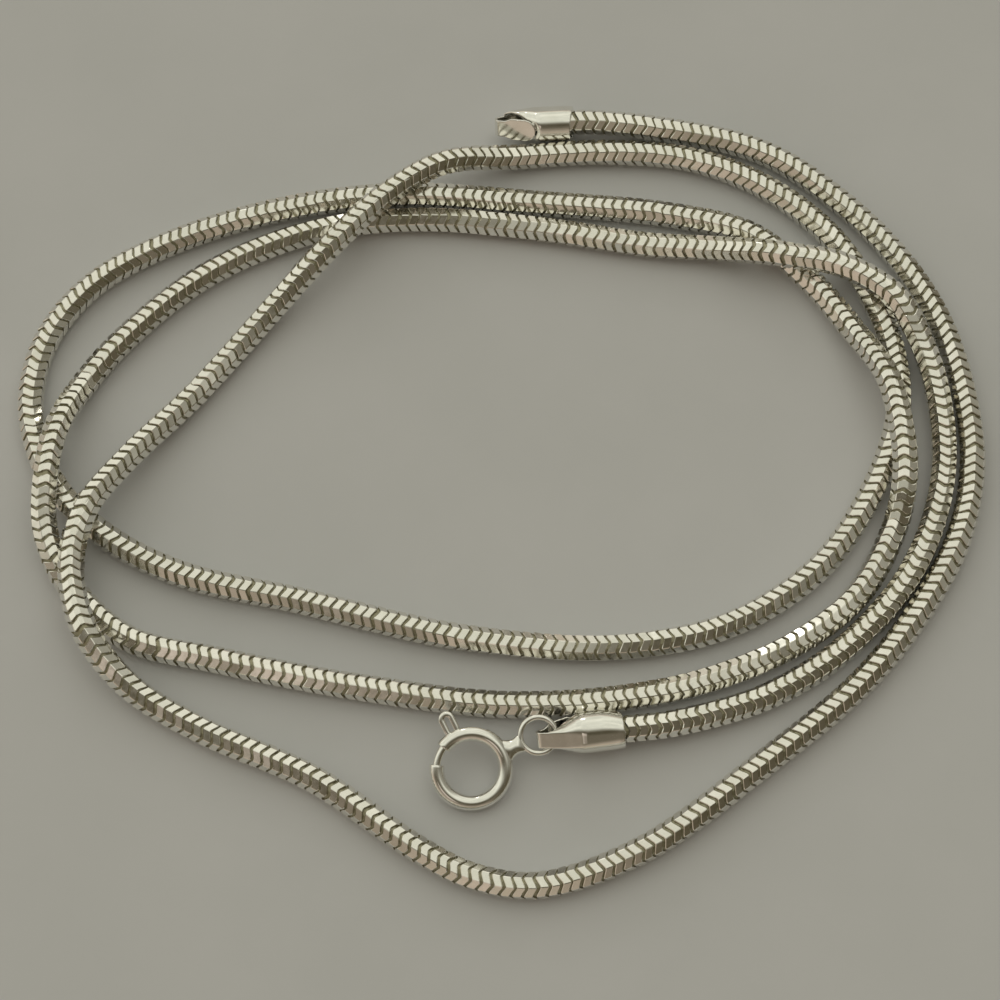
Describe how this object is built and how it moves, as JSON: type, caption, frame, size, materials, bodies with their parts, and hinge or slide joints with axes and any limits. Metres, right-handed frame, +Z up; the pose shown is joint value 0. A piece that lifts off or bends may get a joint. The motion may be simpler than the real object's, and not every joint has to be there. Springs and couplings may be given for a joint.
{
  "type": "snake chain",
  "caption": "Fine silver snake chain necklace lying loosely coiled, open, with a folded end tag at each end and a spring ring clasp on one of them.",
  "frame": {"origin": "on the surface the chain lies on, under the middle of the coil's bounding box", "axes": "+Z up from the surface, +X along the coil's longest extent, towards the right as seen from the front (clasp side), +Y towards the back"},
  "size_m": [0.0712, 0.0612, 0.0037],
  "materials": {
    "chain_silver": "polished sterling silver, diamond-cut link flats",
    "fitting_silver": "polished sterling silver sheet and tube"
  },
  "bodies": {
    "necklace": {"chain": "chain_silver", "end_tag_a": "fitting_silver", "end_tag_b": "fitting_silver", "spring_ring": "fitting_silver"},
    "gate": {"spring_ring_gate": "fitting_silver"}
  },
  "joints": [
    {"name": "gate_slide", "type": "hinge", "parent": "necklace", "child": "gate", "pos_m": [-0.00194, -0.02165, 0.00128], "axis": [-0.061, 0.2785, -0.9585], "range_deg": [0, 40], "stiffness_Nm_per_rad": 0.0005, "springref_deg": -17.19}
  ]
}
